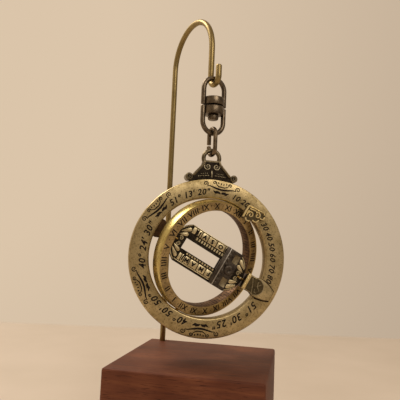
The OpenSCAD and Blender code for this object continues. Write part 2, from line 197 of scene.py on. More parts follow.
def patina(name, bare, tarnish, grime_and_shade, rough, patch=5.0, recess=0.7, grit=0.35, depth=0.012,
           pits=0.5):
    finish = bpy.data.materials.new(name)
    finish.use_nodes = True
    tree = finish.node_tree
    shader = tree.nodes["Principled BSDF"]
    where = add_node(tree, "ShaderNodeTexCoord").outputs["Object"]
    patches = add_node(tree, "ShaderNodeTexNoise",
                       {"Vector": where, "Scale": 1 / (mm * patch), "Detail": 6.0,
                        "Roughness": 0.62})
    specks = add_node(tree, "ShaderNodeTexNoise",
                      {"Vector": where, "Scale": 1 / (mm * grit), "Detail": 2.0})
    spots = add_node(tree, "ShaderNodeTexNoise",
                     {"Vector": where, "Scale": 1 / (mm * pit_size), "Detail": 3.0})
    tone = add_node(tree, "ShaderNodeValToRGB", {"Fac": patches.outputs["Fac"]},
                    [(0.34, tarnish), (0.60, bare)])
    pitting = add_node(tree, "ShaderNodeValToRGB", {"Fac": spots.outputs["Fac"]},
                       [(0.34, "#6B5A48"), (0.47, "#FFFFFF")])
    pitted = add_node(tree, "ShaderNodeMix",
                      {mix_share: pits, mix_one: tone.outputs[0], mix_two: pitting.outputs[0]},
                      data_type="RGBA", blend_type="MULTIPLY")
    # Painted shade: occlusion within recess mm darkens corners and recesses towards the grime
    # colour, partly real grime and partly shade.
    crevice_grime_and_shade = add_node(tree, "ShaderNodeAmbientOcclusion", {"Distance": recess * mm}, samples=8,
                      only_local=True)
    filled = add_node(tree, "ShaderNodeValToRGB", {"Fac": crevice_grime_and_shade.outputs["AO"]},
                      [(0.45, "#000000"), (0.85, "#FFFFFF")])
    colour = add_node(tree, "ShaderNodeMix",
                      {mix_share: filled.outputs[0], mix_one: linear(grime_and_shade),
                       mix_two: pitted.outputs[mixed]}, data_type="RGBA")
    sheen = add_node(tree, "ShaderNodeMapRange",
                     {"Value": patches.outputs["Fac"], "From Min": 0.3, "From Max": 0.7,
                      "To Min": rough + 0.10, "To Max": rough - 0.06})
    relief = add_node(tree, "ShaderNodeBump",
                      {"Height": specks.outputs["Fac"], "Strength": 0.5, "Distance": depth * mm})
    tree.links.new(colour.outputs[mixed], shader.inputs["Base Color"])
    tree.links.new(sheen.outputs[0], shader.inputs["Roughness"])
    tree.links.new(relief.outputs[0], shader.inputs["Normal"])
    shader.inputs["Metallic"].default_value = 1.0
    return finish


# Drawn brass: smooth and yellowish, with long soft patches and hardly a pit.
drawn_brass = patina("drawn_brass_wire", "#A08C5E", "#8B794E", "#4E3E1F", 0.40, patch=12.0,
                     grit=2.0, depth=0.002, pits=0.1)
bm = bmesh.new()
bend_wire(bm, wire_thick, (0, post_foot), 90,
          [(post_top - post_foot,), (arch_radius, -180), (leg_long,), (hook_radius, 180),
           (hook_tip,)], wire_end_ease)
hook_plane = upright(post_left, post_back, 0, hook_turn)
settle(bm, "hook_of_brass_wire", hook_plane, drawn_brass, "stand", "hook_brass", "hook_wire")

# Swivel. Two cast bails of dark bronze, each a bow with a round collar between its feet. The
# stud is riveted into the upper collar, and its head carries the lower one, which turns on it.
plumb_x, plumb_y = 2.7623, -2.4340
bail_plane = upright(plumb_x, plumb_y, 0, hook_turn + 90)
bail_thick, bow_radius, upper_leg, lower_leg, bail_end_ease = 2.1, 5.1, 6.95, 6.35, 0.25
upper_foot, lower_head, collar_radius, collar_high = 135.9, 135.3, 4.5, 3.4
collar_ease, ease_middle, bore_ease = 0.35, 0.1, 0.3
stud_radius, head_radius, head_high, turning_play = 1.5, 2.3, 2.2, 0.08


def turned(bm, profile, axis, closed=False, steps=72):
    spots = [bm.verts.new((r, h, 0) if axis == "Y" else (r, 0, h)) for r, h in profile]
    ends = spots[1:] + spots[:1] if closed else spots[1:]
    lines = [bm.edges.new(pair) for pair in zip(spots, ends)]
    bmesh.ops.spin(bm, geom=spots + lines, cent=(0, 0, 0),
                   axis=(0, 1, 0) if axis == "Y" else (0, 0, 1), dvec=(0, 0, 0), angle=math.tau,
                   steps=steps, use_merge=True, use_normal_flip=False, use_duplicate=False)


# Cast antique bronze: grey brown, rubbed lighter in small patches, and black in its corners from
# grime and painted shade.
dark_bronze = patina("antique_bronze_casting", "#7C6E5B", "#53483D", "#1F1914", 0.36, patch=2.5)
for name, foot, up, leg, bore, body, node in (
        ("upper_bail", upper_foot, 1, upper_leg, stud_radius,
         "upper_swivel", "swivel_upper_bail"),
        ("lower_bail", lower_head, -1, lower_leg, stud_radius + turning_play,
         "lower_swivel", "swivel_lower_bail")):
    bm = bmesh.new()
    bend_wire(bm, bail_thick, (-bow_radius, foot), 90 * up,
              [(leg,), (bow_radius, -180 * up), (leg,)], bail_end_ease)
    collar = [(bore, 0), (collar_radius - collar_ease, 0),
              (collar_radius - ease_middle, ease_middle), (collar_radius, collar_ease),
              (collar_radius, collar_high - collar_ease),
              (collar_radius - ease_middle, collar_high - ease_middle),
              (collar_radius - collar_ease, collar_high), (bore + bore_ease, collar_high),
              (bore, collar_high - bore_ease)]
    turned(bm, [(r, foot + up * h) for r, h in collar], "Y", closed=True)
    settle(bm, name, bail_plane, dark_bronze, body, "chain_bronze", node)

head_top = lower_head - collar_high - turning_play
head_low = head_top - head_high
stud_top = upper_foot + collar_high
round_head = [(0, 0), (1.5, 0), (1.95, 0.12), (2.2, 0.4), (head_radius, 0.9)]
bm = bmesh.new()
turned(bm, [(r, head_low + h) for r, h in round_head]
       + [(head_radius, head_top - 0.25), (head_radius - 0.2, head_top), (stud_radius, head_top),
          (stud_radius, stud_top - 0.3), (stud_radius - 0.35, stud_top - 0.02), (0, stud_top)], "Y")
settle(bm, "swivel_stud_riveted", bail_plane, dark_bronze, "upper_swivel", "chain_bronze",
       "swivel_stud")

# Oval link. Bronze wire bent to a long ring and left open by a narrow slit in one leg, so
# that it can be sprung over the swivel's lower bow and the hanger's eye.
link_thick, link_radius, link_low, link_top, link_end_ease = 1.8, 2.55, 114.5, 125.9, 0.15
slit_foot, slit_wide = 118.625, 0.6
link_plane = upright(plumb_x, plumb_y, 0, hook_turn)
low_bend, top_bend = link_low + link_radius, link_top - link_radius
# Bronze wire rubbed by use: a little brighter and smoother than the castings.
rubbed_bronze = patina("rubbed_bronze_wire", "#84745E", "#5A4D3D", "#2A2219", 0.30, patch=2.0,
                       depth=0.006)
bm = bmesh.new()
bend_wire(bm, link_thick, (-link_radius, slit_foot + slit_wide), 90,
          [(top_bend - slit_foot - slit_wide,), (link_radius, -180), (top_bend - low_bend,),
           (link_radius, -180), (slit_foot - low_bend,)], link_end_ease)
settle(bm, "oval_link", link_plane, rubbed_bronze, "link", "chain_bronze", "jump_link")

# Hanger. A cast bronze bracket on the rim with an eye on top, sloping flanks that roll into
# scrolls, and a sunk dark panel with two volutes. Its shoe runs in the groove of the rim.
ring_high, dial_turn = 71.1, 23.0
dial = upright(plumb_x, plumb_y, ring_high, dial_turn)
half_thick, panel_sink, seat_radius = 2.5, 0.6, 32.85
eye_thick, eye_radius, eye_high = 1.8, 3.4, 41.9
shelf_high, shelf_low, shelf_inset = 40.65, 39.95, 0.5
flank = [(3.50, 40.65), (3.98, 39.22), (5.38, 37.55), (6.86, 35.88), (8.06, 34.41), (9.02, 34.01)]
band_wide, band_drop, band_ease = 0.95, 0.45, 0.22
roll_x, roll_y, roll_radius, roll_ease, roll_eye = 9.6, 33.40, 1.55, 0.3, 1.05
spiral_radius, spiral_turns, spiral_thick, spiral_high = 1.1, 1.15, 0.72, 0.2
# Faces that would lie in one plane are set apart by a few hairs.
hair = 0.01


def arc(x, y, radius, start, end, count):
    turns = [math.radians(start + (end - start) * i / (count - 1)) for i in range(count)]
    return [(x + radius * math.cos(t), y + radius * math.sin(t)) for t in turns]


# A flat plate from one outline, or from an outline and the outlines of its openings.
def plate(bm, low, high, *outlines):
    lines = []
    for outline in outlines:
        spots = [bm.verts.new((*spot, low)) for spot in outline]
        if len(outlines) > 1:
            lines += [bm.edges.new(pair) for pair in zip(spots, spots[1:] + spots[:1])]
    if lines:
        made = bmesh.ops.triangle_fill(bm, use_beauty=True, use_dissolve=False, edges=lines)
        sheet = [f for f in made["geom"] if isinstance(f, bmesh.types.BMFace)]
    else:
        sheet = [bm.faces.new(spots)]
    made = bmesh.ops.extrude_face_region(bm, geom=sheet)["geom"]
    bmesh.ops.translate(bm, verts=[v for v in made if isinstance(v, bmesh.types.BMVert)],
                        vec=(0, 0, high - low))


def joined(bm, part):
    mesh = bpy.data.meshes.new("part")
    part.to_mesh(mesh)
    part.free()
    bm.from_mesh(mesh)
    bpy.data.meshes.remove(mesh)


def add_plate(bm, low, high, *outlines, eased=0.0, steps=2):
    part = bmesh.new()
    plate(part, low, high, *outlines)
    if eased:
        ease(part, eased, steps)
    joined(bm, part)


def meshed(data):
    holder = bpy.data.objects.new("outline", data)
    part = bmesh.new()
    part.from_mesh(holder.to_mesh())
    holder.to_mesh_clear()
    bpy.data.objects.remove(holder)
    bpy.data.curves.remove(data)
    return part


# Raised or filled lines: each point is x, y and, where the line swells, its share of thick.
def bead(bm, lines, thick, high, level):
    data = bpy.data.curves.new("bead", "CURVE")
    data.dimensions = "3D"
    data.bevel_depth = thick / 2
    data.bevel_resolution = 1
    data.use_fill_caps = True
    for line in lines:
        spline = data.splines.new("POLY")
        spline.points.add(len(line) - 1)
        for spot, point in zip(spline.points, line):
            spot.co = (point[0], point[1], 0, 1)
            spot.radius = point[2] if len(point) > 2 else 1.0
    part = meshed(data)
    for vert in part.verts:
        vert.co.z = vert.co.z * high / (thick / 2) + level
    joined(bm, part)


# A spiral that closes in to its middle and grows thinner on the way.
def volute(x, y, radius, start, turns, hand, count=22):
    closing, thinning = 0.88, 0.45
    steps = [i / (count - 1) for i in range(count)]
    turned_by = [math.radians(start) + hand * math.tau * turns * t for t in steps]
    return [(x + radius * (1 - closing * t) * math.cos(turn),
             y + radius * (1 - closing * t) * math.sin(turn),
             1.0 - thinning * t) for t, turn in zip(steps, turned_by)]


# Blackened bronze: the sunk panel and the eyes of the rolls look nearly black and dull.
hanger_dark = patina("hanger_bronze_blackened", "#312B23", "#221D18", "#0E0B08", 0.46, patch=2.0)
# Rubbed bronze: the frame and the eye show half bright olive metal, dark only in fine corners
# from grime and painted shade.
hanger_bright = patina("hanger_bronze_rubbed", "#867960", "#584E3A", "#241D15", 0.34, patch=2.0,
                       recess=0.35)
# Bronze worn pale, with a painted glint: the highest lines stand out yellowish grey from the dark
# ground, partly from wear and partly as the glint they catch.
pale_bronze_and_glint = patina("hanger_bronze_pale_painted_glint", "#BDB090", "#968A6E", "#4A3F30", 0.34,
                     patch=2.0, recess=0.1)
panel_level = half_thick - panel_sink
seat = arc(0, 0, seat_radius, 74.0, 106.0, 25)
bm = bmesh.new()
plate(bm, -panel_level, panel_level, flank + seat + [(-x, y) for x, y in reversed(flank)])
for side in (1, -1):
    for level in (half_thick, -half_thick):
        add_plate(bm, level - 3 * hair, level + 3 * hair,
                  arc(side * roll_x, roll_y, roll_eye, 0, 348, 30))
settle(bm, "hanger_panel", dial, hanger_dark, "hanger", "hanger_bronze", "hanger")

roll_profile = [(0, -half_thick), (roll_radius - roll_ease, -half_thick),
                (roll_radius, -half_thick + roll_ease), (roll_radius, half_thick - roll_ease),
                (roll_radius - roll_ease, half_thick), (0, half_thick)]
bm = bmesh.new()
turned(bm, arc(eye_radius, 0, eye_thick / 2, 0, 345, 24), "Z", closed=True, steps=64)
bmesh.ops.translate(bm, verts=bm.verts, vec=(0, eye_high, 0))
for side in (1, -1):
    inner = [(side * (x - band_wide), y - band_drop) for x, y in reversed(flank)]
    add_plate(bm, -half_thick, half_thick, [(side * x, y) for x, y in flank] + inner,
              eased=band_ease)
    part = bmesh.new()
    turned(part, roll_profile, "Z", steps=40)
    bmesh.ops.translate(part, verts=part.verts, vec=(side * roll_x, roll_y, 0))
    joined(bm, part)
    spiral = volute(side * roll_x, roll_y, spiral_radius, 90 + side * 40, spiral_turns, -side)
    for level in (half_thick - 2 * hair, -half_thick + 2 * hair):
        bead(bm, [spiral], spiral_thick, spiral_high, level)
plate(bm, -half_thick + shelf_inset, half_thick - shelf_inset,
      [(-3.5, shelf_high), (-3.1, shelf_low), (3.1, shelf_low), (3.5, shelf_high)])
settle(bm, "hanger_frame_and_eye", dial, hanger_bright, "hanger", "hanger_bronze")

# On the panel stand two volutes, two rows of dots along the rim and a stem in the middle.
# These lines are pale from wear and from a painted glint.
bm = bmesh.new()
for face in (1, -1):
    level = face * panel_level
    for side in (1, -1):
        low_row = arc(0, 0, 34.1, 90 - side * 2.4, 90 - side * 9.6, 7)
        top_row = arc(0, 0, 35.2, 90 - side * 3.4, 90 - side * 7.6, 4)
        bead(bm, [volute(side * 1.9, 38.0, 1.5, 90 - side * 60, 1.5, -side)], 0.55, 0.4, level)
        bead(bm, [[(x, y, 0.9), (x + 0.08, y + 0.35, 0.9)] for x, y in low_row], 0.5, 0.34, level)
        bead(bm, [[(x, y, 0.8), (x + 0.25, y, 0.8)] for x, y in top_row], 0.45, 0.28, level)
    bead(bm, [[(0, 33.5, 0.8), (0, 34.8, 1.1), (0, 36.3, 0.6)]], 0.6, 0.45, level)
settle(bm, "hanger_scrolls_and_dots", dial, pale_bronze_and_glint, "hanger", "hanger_bronze")
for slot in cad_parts["hanger_shoe"].material_slots:
    slot.material = hanger_dark

# Meridian ring. The heavy outer ring of cast brass, turned flat on both faces, with a narrow
# groove for the shoe round its rim. Figures and scrolls are engraved and filled with black.
rim_radius, bore_radius, ring_half = 32.7, 24.65, 2.8
# Turned antique brass: olive yellow with soft brown patches and a dull sheen.
old_brass = patina("antique_brass_turned", "#C4B083", "#928057", "#43351F", 0.36, patch=7.0,
                   recess=0.5)
# Half of the ring's section, from the bore over the face to the floor of the groove.
front = [(bore_radius, 2.25), (24.73, 2.52), (24.95, 2.72), (25.3, ring_half), (32.1, ring_half),
         (32.45, 2.72), (32.63, 2.52), (rim_radius, 2.25), (rim_radius, 0.9), (32.6, 0.8),
         (32.1, 0.8), (32.1, 1.3), (31.1, 1.3)]
bm = bmesh.new()
turned(bm, front + [(r, -h) for r, h in reversed(front)], "Z", closed=True, steps=192)
settle(bm, "meridian_ring_turned", dial, old_brass, "meridian", "ring_brass", "meridian_ring")

# Engraving. The filling stands fill_half proud of the face, so that it is a shape of its own.
# Letters are drawn for a capital height, which is capital_share of the font's size.
fill_half, capital_share = 0.03, 0.72
slant, legend_radius, degree_radius, scroll_radius = 0.22, 27.45, 27.6, 30.4
scroll_thick, dot_thick = 0.46, 0.5


def figures(text, high, lean, bold, spread=1.0):
    data = bpy.data.curves.new("figures", "FONT")
    data.body = text
    data.size = high / capital_share
    data.shear = lean
    data.offset = bold
    data.space_character = spread
    data.align_x = "CENTER"
    data.extrude = fill_half
    data.resolution_u = 3
    return meshed(data)


def round_ring(spot, radius, angle):
    turn = math.radians(angle) - spot[0] / radius
    return (radius + spot[1]) * math.cos(turn), (radius + spot[1]) * math.sin(turn)


def ring_figures(bm, text, high, lean, bold, radius, angle, level, face=1, spread=1.0):
    part = figures(text, high, lean, bold, spread)
    for vert in part.verts:
        x, y = round_ring((vert.co.x, vert.co.y - high / 2), radius, angle)
        vert.co = Vector((face * x, y, face * (level + vert.co.z)))
    joined(bm, part)


scroll = [volute(-7.0, 0.45, 1.05, -50, 1.4, 1)[::-1]
          + [(-5.2, -0.5, 1.1), (-3.2, -1.2, 1.5), (-1.2, -1.7, 1.8), (0.9, -1.75, 1.8),
             (3.0, -1.3, 1.5), (5.0, -0.6, 1.1)]
          + volute(7.0, 0.4, 1.05, 230, 1.4, -1),
          volute(-3.3, 0.8, 0.8, -30, 1.3, 1), volute(3.4, 0.8, 0.8, 210, 1.3, -1),
          [(-2.6, 0.35, 0.7), (-1.3, -0.6, 1.1), (1.2, -0.65, 1.1), (2.7, 0.3, 0.7)],
          [(-1.9, 0.95, 1.6), (-1.45, 0.95, 1.6)], [(-0.7, 0.6, 1.7), (-0.25, 0.6, 1.7)],
          [(0.4, 0.6, 1.7), (0.85, 0.6, 1.7)], [(1.55, 0.95, 1.6), (2.0, 0.95, 1.6)],
          [(-3.7, -2.5, 0.6), (-2.5, -3.2, 2.4), (-1.4, -3.05, 1.9), (-0.2, -3.4, 0.8)],
          [(-2.3, -2.45, 0.6), (-1.1, -2.95, 2.0), (-0.1, -3.4, 0.8)],
          [(3.7, -2.6, 0.6), (2.5, -3.3, 2.4), (1.4, -3.1, 1.9), (0.1, -3.4, 0.8)],
          [(2.3, -2.45, 0.6), (1.1, -2.95, 2.0), (0.1, -3.4, 0.8)]]


def ring_scroll(bm, radius, angle, face):
    lines = []
    for line in scroll:
        spots = [(*round_ring(spot, radius, angle), *spot[2:]) for spot in line]
        lines.append([(face * x, y, *rest) for x, y, *rest in spots])
    bead(bm, lines, scroll_thick, fill_half, face * ring_half)


# Black wax rubbed into the engraving: matt, a little brown where it has thinned.
# Thin patches about 1 mm across.
black_fill = patina("black_wax_fill", "#1F1610", "#120B07", "#080503", 0.70, patch=1.0,
                    recess=0.05)
wax_shader = black_fill.node_tree.nodes["Principled BSDF"]
wax_shader.inputs["Metallic"].default_value = 0.0
wax_shader.inputs["Specular IOR Level"].default_value = 0.2
bm = bmesh.new()
for text, high, angle in (("51° 13' 20\"", 2.5, 110.5), ("40° 24' 30\"", 2.7, 171.2),
                          ("40° 50' 50\"", 2.7, 233.4), ("51° 30' 25\"", 2.9, 297.4)):
    ring_figures(bm, text, high, slant, 0.10, legend_radius, angle, ring_half, spread=1.12)
for number, angle in zip(range(10, 90, 10), (67.5, 58.0, 31.0, 21.5, 12.0, 2.5, -7.0, -16.5)):
    ring_figures(bm, str(number), 2.4, slant, 0.09, degree_radius, angle, ring_half, spread=1.1)
    dot = [round_ring((0, half), degree_radius, angle - 4.75) for half in (-0.1, 0.1)]
    bead(bm, [dot], dot_thick, fill_half, ring_half)
for angle in (81.5, 138.5, 203.3, 264.8):
    ring_scroll(bm, scroll_radius, angle, 1)
settle(bm, "meridian_engraving_filled", dial, black_fill, "meridian", "ring_brass")

# Latitude scale on the ring's back. Short engraved lines and figures in degrees, cut by hand
# and filled with black like the front.
mark_radius, mark_top, mark_thick, tens_mark, fives_mark = 28.6, 2.9, 0.26, 2.2, 1.3
bm = bmesh.new()
for degree in range(0, 95, 5):
    tens = degree % 10 == 0
    angle = 90 - degree
    mark_low = mark_top - (tens_mark if tens else fives_mark)
    mark = [round_ring((0, spot), mark_radius, angle) for spot in (mark_low, mark_top)]
    bead(bm, [[(-x, y) for x, y in mark]], mark_thick, fill_half, -ring_half)
    if tens:
        ring_figures(bm, str(degree), 1.7, 0.1, 0.03, degree_radius, angle, ring_half, face=-1)
for angle in (180.0, 225.0, 270.0):
    ring_scroll(bm, 30.2, angle, -1)
settle(bm, "latitude_scale_filled", dial, black_fill, "meridian", "ring_brass")

# Polar brackets. Two small brass plates riveted to the ring's faces at the poles. Each folds
# down into a leg that holds a pivot of the bridge, and has a beaded bar, a medallion and a leaf.
pole_turn = -29.2
pole = dial @ Matrix.Rotation(math.radians(pole_turn), 4, "Z")
plate_low, plate_high, bar_top, top_skin = 2.8, 4.1, 4.5, 0.45
leg_in, leg_out, leg_foot, leg_half, bar_half = 17.6, 19.1, -1.6, 3.0, 3.4
top_ease, leg_ease, bar_ease = 0.26, 0.15, 0.2
leaf = [(21.43, 3.4), (23.10, 4.15), (25.65, 3.94), (28.42, 3.26), (30.8, 2.24)]
bar_beads, bar_bead_radius, medal_x, medal_radius = (-2.6, -1.3, 0.0, 1.3, 2.6), 0.46, 22.9, 3.3


def box(left, right, low, high):
    return [(left, low), (right, low), (right, high), (left, high)]


def both_sides(line):
    return line + [(x, -y) for x, y in reversed(line)]


def button(bm, spot, radius, flat, sides=16):
    bmesh.ops.create_uvsphere(bm, u_segments=sides, v_segments=8, radius=radius,
                              matrix=Matrix.Translation(spot) @ Matrix.Diagonal((1, 1, flat, 1)))


# Cast antique brass: pale olive yellow on the high faces, black brown in its recesses from grime
# and painted shade.
cast_brass = patina("antique_brass_casting", "#C2B188", "#9A8A64", "#2E2417", 0.38, patch=4.0)
# Rubbed brass with a painted highlight: the bar and the raised scrolls are worn nearly clean,
# and their pale colour also stands in for the light they catch.
rubbed_and_highlit_brass = patina("rubbed_brass_painted_highlight", "#F0DCA6", "#D2BC82", "#4A3A20", 0.32, patch=2.0,
                   recess=0.3, pits=0.1)
# Brown brass with painted shade: the leg and the underside lie in shade, and their dull dark
# brown stands in for it.
shaded_brown_brass = patina("brown_brass_painted_shade", "#5C4733", "#3C2C1E", "#1C140D", 0.48, patch=3.0)
# Olive tarnish: sunk grounds look dark greenish brown under the bright lines.
olive_brass = patina("olive_tarnished_brass", "#62573F", "#483F2E", "#1A150E", 0.44, patch=2.0,
                     recess=0.4)
for name, place, node in (
        ("front_bracket", pole, "front_polar_bracket"),
        ("rear_bracket", pole @ Matrix.Rotation(math.pi, 4, "Y"), "rear_polar_bracket")):
    # Top face with the leaf, rounded over its edge.
    bm = bmesh.new()
    plate(bm, plate_high - top_skin, plate_high,
          both_sides([(leg_in + 0.05, bar_half - 0.1)] + [(x - 0.04, y - 0.14) for x, y in leaf]))
    ease(bm, top_ease)
    settle(bm, name, place, cast_brass, "meridian", "plate_brass", node)
    # Raised line round the medallion, and the stems on it, pale with wear and a painted glint.
    bm = bmesh.new()
    bead(bm, [arc(medal_x, 0, 3.35, 100, -112, 29),
              [(20.0, 2.6), (20.9, 0.8), (21.7, -1.2), (22.4, -3.1)],
              [(23.0, 2.3, 0.7), (23.4, 0.4, 1.0), (24.9, -0.9, 0.7)],
              [(23.4, 0.4, 0.9), (24.6, 1.9, 0.6)],
              [(22.9, -1.0, 0.6), (23.3, -2.2, 1.0), (24.2, -2.3, 0.6)]], 0.46, 0.26, plate_high)
    settle(bm, name + "_raised_lines", place, pale_bronze_and_glint, "meridian", "plate_brass")
    # Body of the plate under its top face, and the leg that is folded down from it, both darkened
    # with painted shade.
    bm = bmesh.new()
    plate(bm, plate_low, plate_high - 0.4, both_sides([(leg_in, bar_half)] + leaf))
    add_plate(bm, leg_foot, plate_high - 0.3, box(leg_in, leg_out, -leg_half, leg_half),
              eased=leg_ease)
    settle(bm, name + "_leg_and_underside", place, shaded_brown_brass, "meridian", "plate_brass")
    # Bar across the fold, with a row of flat beads, pale with wear and a painted highlight.
    bm = bmesh.new()
    plate(bm, plate_low + 2 * hair, bar_top, box(leg_in, leg_out, -bar_half, bar_half))
    ease(bm, bar_ease)
    for spot in bar_beads:
        button(bm, ((leg_in + leg_out) / 2, spot, bar_top), bar_bead_radius, 0.5, 14)
    settle(bm, name + "_beaded_bar", place, rubbed_and_highlit_brass, "meridian", "plate_brass")
    # Ground of the medallion, a thin sheet on the top face.
    bm = bmesh.new()
    plate(bm, plate_high - 0.1, plate_high + 3 * hair,
          [(19.2, 2.95), (21.5, 3.0), (22.0, 3.2)] + arc(medal_x, 0, medal_radius, 80, -80, 25)
          + [(22.0, -3.2), (21.5, -3.0), (19.2, -2.95)])
    settle(bm, name + "_medallion", place, olive_brass, "meridian", "plate_brass")
    # Painted shadow: a thin black sheet round the leaf's end, where the plate's edge shades the
    # ring.
    bm = bmesh.new()
    plate(bm, plate_low - 2 * hair, plate_low + 6 * hair,
          [(24.9, 4.4), (25.75, 4.34), (28.6, 3.66), (31.25, 2.5),
           (31.25, -2.6), (28.6, -3.72), (25.75, -4.4), (24.9, -4.46)])
    settle(bm, name + "_painted_shadow_line", place, black_fill, "meridian", "plate_brass")

# Stop plate. A small brass plate on the ring's front face with a straight edge that the hour
# ring comes to rest against when it is opened, raised scrolls and a scalloped lower edge.
stop_x, stop_y, stop_line_thick, stop_line_high = 2.7, 21.55, 0.78, 0.3
stop_edge = [(0, 0), (0, 6.44), (8.28, 7.0), (8.9, 5.88), (6.41, 2.8), (2.76, 0.21)]
scallops = ((2.76, 1.12, 1.51), (5.61, 2.56, 1.74), (7.83, 4.62, 1.29))
bm = bmesh.new()
plate(bm, plate_low, plate_high, [(stop_x + x, stop_y + y) for x, y in stop_edge])
for x, y, radius in scallops:
    add_plate(bm, plate_low + hair, plate_high - hair,
              arc(stop_x + x, stop_y + y, radius, 0, 350, 36))
settle(bm, "stop_plate_ground", pole, olive_brass, "meridian", "plate_brass", "stop_plate")
# Raised scrolls and the stop's straight bar, pale with wear and a painted highlight.
bm = bmesh.new()
lines = [[(0.6, 6.1), (7.9, 6.6), (8.4, 5.8)],
         volute(2.9, 2.9, 1.5, 200, 1.25, -1), volute(5.7, 4.2, 1.5, 150, 1.25, -1),
         [(1.3, 5.1, 0.8), (3.0, 5.3, 1.1), (4.5, 5.5, 0.8)],
         arc(2.76, 1.12, 1.15, 190, 330, 9), arc(5.61, 2.56, 1.4, 230, 370, 9),
         arc(7.83, 4.62, 0.95, 230, 400, 9), [(1.4, 1.6, 0.7), (1.5, 3.2, 0.9), (1.4, 4.2, 0.7)]]
bead(bm, [[(stop_x + x, stop_y + y, *rest) for x, y, *rest in line] for line in lines],
     stop_line_thick, stop_line_high, plate_high)
bead(bm, [[(stop_x + 0.5, stop_y + 0.5), (stop_x + 0.5, stop_y + 6.1)]], 1.0, 0.36, plate_high)
settle(bm, "stop_plate_relief", pole, rubbed_and_highlit_brass, "meridian", "plate_brass")

# Pins and rivets. Short turned brass pins: the pivots of the hour ring and of the bridge, and
# the pegs that fix the three plates. They are plain and mostly hidden, so the solids are shown.

# Turned brass: clean and warm yellow, with fine brown patches.
turned_brass = patina("turned_brass_pin", "#B4924F", "#866A3A", "#4A371E", 0.34, patch=1.5)
for node in ("plate_rivets", "hour_pivot_pins", "bridge_pivot_pins"):
    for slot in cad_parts[node].material_slots:
        slot.material = turned_brass

# Hour ring. A lighter brass ring that folds out on two pins in the meridian ring. Its edge is
# polished, its face has twice twelve hours in Roman figures, and its inside the hour lines.
fold_turn = 26.3
fold = pole @ Matrix.Rotation(math.radians(fold_turn), 4, "Y")
hour_out, hour_in, hour_half, wall_from, bore_to = 24.3, 20.3, 2.6, 23.5, 20.4
hour_step, hour_radius, dot_radius = 15.0, 22.3, 22.5
line_top, line_deep, line_wide, long_drop, short_drop = 2.2, 0.06, 0.22, 2.0, 0.6
# Polished brass: the outer wall is bright yellow and mirrors the room softly.
polished_brass = patina("polished_brass", "#D6C27E", "#AD9A5C", "#5C4A28", 0.27, patch=9.0)
# Antique brass face: duller, with dark metal round the figures.
face_brass = patina("antique_brass_face", "#C0AA7C", "#927E58", "#33281B", 0.42, patch=5.0)
# Brown bore: never polished, so it looks matt and reddish brown.
bore_brass = patina("brown_brass_bore", "#765C45", "#523E30", "#2A1E14", 0.58, patch=4.0)
bm = bmesh.new()
turned(bm, [(23.3, -hour_half), (24.1, -hour_half), (24.24, -2.54), (hour_out, -2.4),
            (hour_out, 2.4), (24.24, 2.54), (24.1, hour_half), (23.9, hour_half),
            (20.55, hour_half), (20.38, 2.53), (hour_in, 2.35), (hour_in, -2.35), (20.38, -2.53),
            (20.55, -hour_half)], "Z", closed=True, steps=192)
for face in bm.faces:
    radius = face.calc_center_median().xy.length
    face.material_index = 0 if radius > wall_from else 2 if radius < bore_to else 1
hour_ring = settle(bm, "hour_ring_turned", fold, polished_brass, "hour", "hour_brass",
                   "hour_ring")
hour_ring.data.materials.append(face_brass)
hour_ring.data.materials.append(bore_brass)
hours = ("XII", "I", "II", "III", "IIII", "V", "VI", "VII", "VIII", "IX", "X", "XI")
bm = bmesh.new()
for k in range(24):
    angle = -90 - hour_step * k
    ring_figures(bm, hours[k % 12], 2.3, 0.0, 0.09, hour_radius, angle, hour_half, spread=1.12)
    x, y = round_ring((0, 0), dot_radius, angle - hour_step / 2)
    bead(bm, [[(x - 0.14, y), (x + 0.14, y)]], 0.55, fill_half, hour_half)
    for quarter in range(4):
        turn = Matrix.Rotation(math.radians(angle - hour_step / 4 * quarter), 4, "Z")
        drop = long_drop if quarter == 0 else short_drop
        middle = (line_top - drop) / 2 - 0.05 * quarter
        bmesh.ops.create_cube(bm, size=1.0,
                              matrix=turn @ Matrix.Translation((hour_in, 0, middle))
                              @ Matrix.Diagonal((line_deep, line_wide, line_top + drop, 1)))
settle(bm, "hour_figures_filled", fold, black_fill, "hour", "hour_brass")

# Bridge. A flat brass plate between the poles with a long slot, months on its two rails, a
# ladder of days beside the slot and a palmette at each end. It turns on two small pins.
rail_end, rail_half, slot_end, slot_half, bridge_half = 12.3, 8.5, 11.8, 2.4, 1.0
fan_x, fan_radius, ground, relief_root = 7.575, 9.725, 0.62, 0.1
fan = math.degrees(math.asin(rail_half / fan_radius))
right_end = arc(fan_x, 0, fan_radius, -fan, fan, 25)
# Blackened brass with painted shade: the ground between the cells is nearly black and makes them
# stand out; on the slot's walls and the plate's edges the black also stands in for shade.
blackened_and_shaded_brass = patina("blackened_brass_ground_and_shade", "#3A332A", "#26211B", "#0E0B08", 0.50, patch=2.0)
bm = bmesh.new()
plate(bm, -bridge_half, ground, right_end + [(-x, -y) for x, y in right_end],
      box(-slot_end, slot_end, -slot_half, slot_half))
settle(bm, "bridge_ground", pole, blackened_and_shaded_brass, "bridge", "bridge_brass", "bridge")

# Rubbed brass relief: pale straw yellow on top, with edges darkened by grime and painted shade.
rail_brass = patina("rubbed_brass_relief", "#DCCDA4", "#B2A17A", "#3A2D1C", 0.38, patch=3.0,
                    recess=0.3, pits=0.25)
